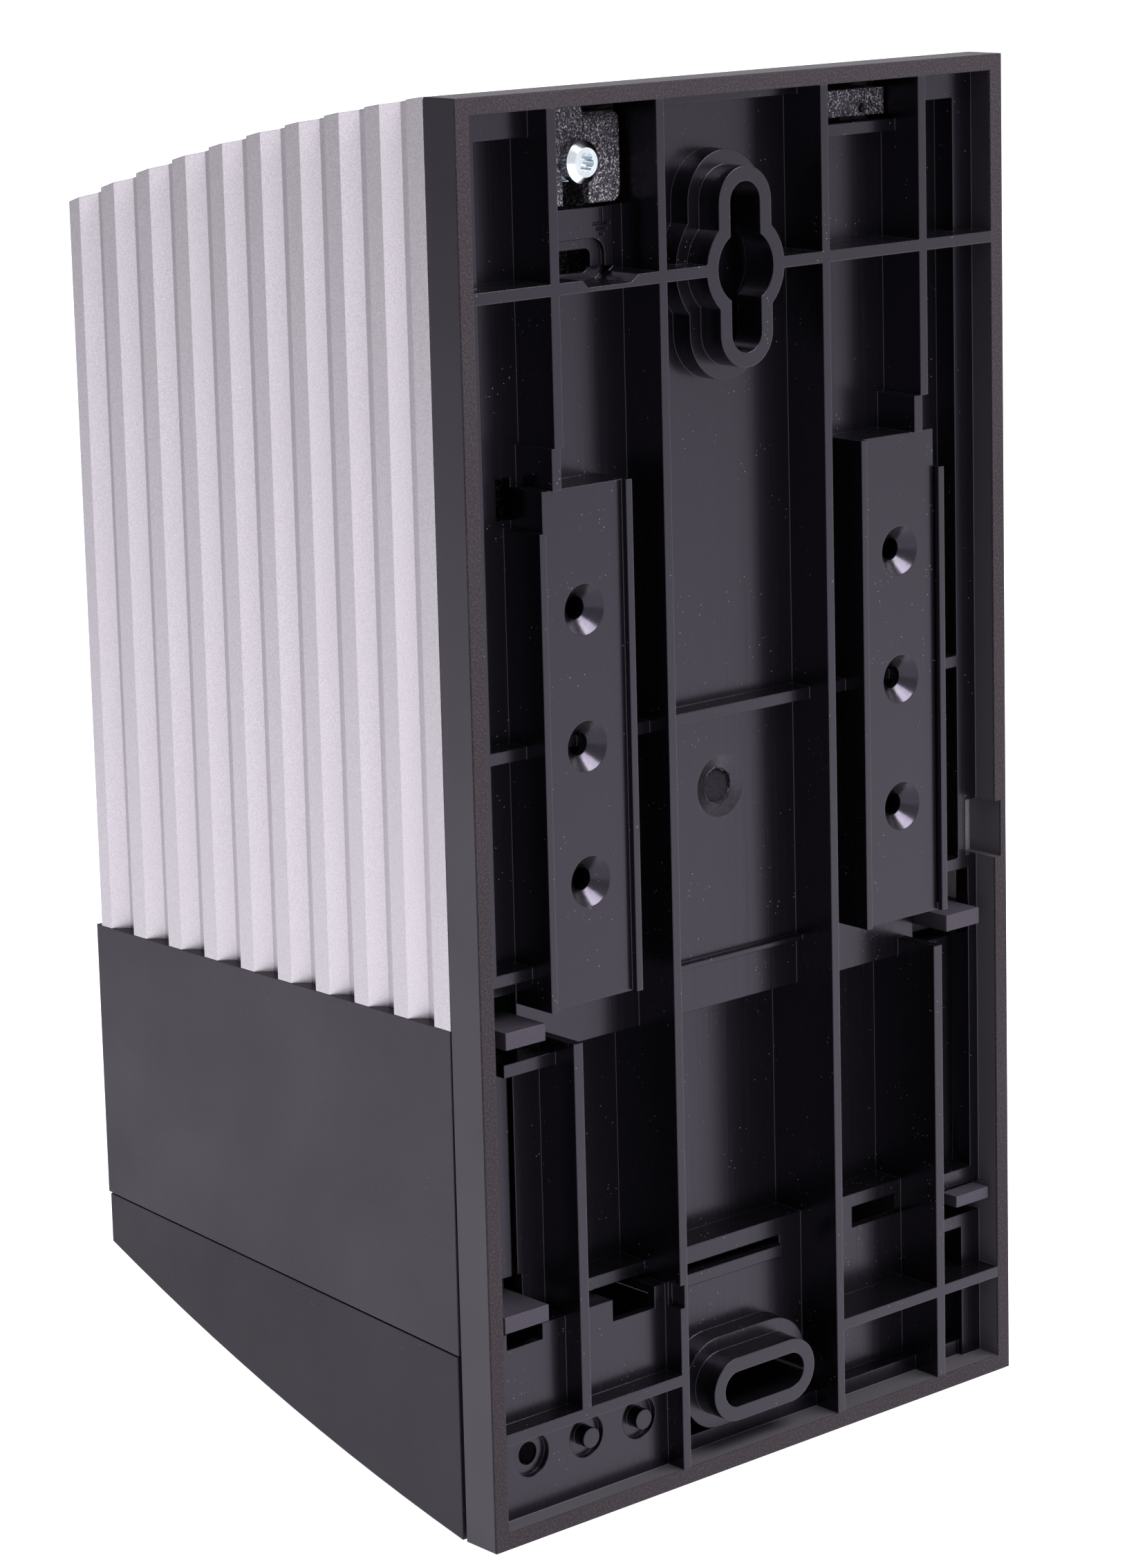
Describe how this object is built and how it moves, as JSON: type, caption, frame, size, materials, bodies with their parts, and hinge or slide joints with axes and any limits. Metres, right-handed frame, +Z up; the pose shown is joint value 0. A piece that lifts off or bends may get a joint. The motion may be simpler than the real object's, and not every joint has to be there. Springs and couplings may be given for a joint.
{
  "type": "micro inverter",
  "caption": "Wall-mounted grid-tie inverter: silver finned heat sink on a ribbed black back plate with a keyhole, plastic lower housing and a pull-off cover over the terminals.",
  "frame": {"origin": "centre of the keyhole on the wall plane", "axes": "+Z up, +Y into the wall, the body stands out towards -Y, +X to the left as seen from behind"},
  "size_m": [0.132, 0.115, 0.257],
  "materials": {
    "black_plastic": "moulded ABS, fine texture",
    "ribbed_plastic": "moulded ABS, polished between the ribs, textured on the outer frame",
    "cast_silver": "satin silver lacquer with a fine metallic grain",
    "black_steel": "black wrinkle powder coat",
    "zinc_steel": "bright zinc plate",
    "insert_brass": "knurled brass",
    "circuit_board": "green solder mask",
    "component_black": "moulded epoxy",
    "terminal_green": "green polyamide",
    "ferrite": "ground ferrite",
    "choke_powder": "painted iron powder core",
    "winding_tape": "polyester tape",
    "copper_wire": "enamelled copper",
    "capacitor_sleeve": "shrink sleeve",
    "film_box": "moulded box",
    "clear_lens": "clear acrylic",
    "fuse_glass": "glass tube with plated caps",
    "thermal_grey": "silicone thermal pad",
    "clamp_alu": "milled bar"
  },
  "bodies": {
    "inverter": {"ac_cable_clamp": "black_plastic", "ac_terminal": "terminal_green", "back_plate": "ribbed_plastic", "board_screws": "zinc_steel", "board_standoffs": "zinc_steel", "chassis_screws": "zinc_steel", "choke_core": "choke_powder", "choke_winding": "copper_wire", "clamp_bar_left": "clamp_alu", "clamp_bar_right": "clamp_alu", "control_board": "circuit_board", "control_chips": "component_black", "control_header": "component_black", "cover_inserts": "insert_brass", "data_socket": "component_black", "dc_cable_clamp": "black_plastic", "dc_terminal": "terminal_green", "earth_nut": "zinc_steel", "earth_screw": "zinc_steel", "earth_washer": "zinc_steel", "film_capacitor_1": "film_box", "film_capacitor_2": "film_box", "fuse": "fuse_glass", "fuse_holder": "component_black", "grid_relay_1": "component_black", "grid_relay_2": "component_black", "hanger_plate": "black_steel", "heatsink_shell": "cast_silver", "input_capacitor_1": "capacitor_sleeve", "input_capacitor_2": "capacitor_sleeve", "input_capacitor_3": "capacitor_sleeve", "lower_housing": "black_plastic", "main_board": "circuit_board", "status_board": "circuit_board", "status_light_pipe": "clear_lens", "terminal_screws": "zinc_steel", "thermal_pad_left": "thermal_grey", "thermal_pad_right": "thermal_grey", "top_cover": "black_plastic", "transformer_core": "ferrite", "transformer_winding": "winding_tape", "transistor_left_1": "component_black", "transistor_left_2": "component_black", "transistor_left_3": "component_black", "transistor_right_1": "component_black", "transistor_right_2": "component_black", "transistor_right_3": "component_black"},
    "cover": {"connection_cover": "black_plastic", "cover_screws": "zinc_steel"}
  },
  "joints": [
    {"name": "cover_slide", "type": "slide", "parent": "inverter", "child": "cover", "axis": [0, -1, 0], "range_m": [0, 0.12]}
  ]
}
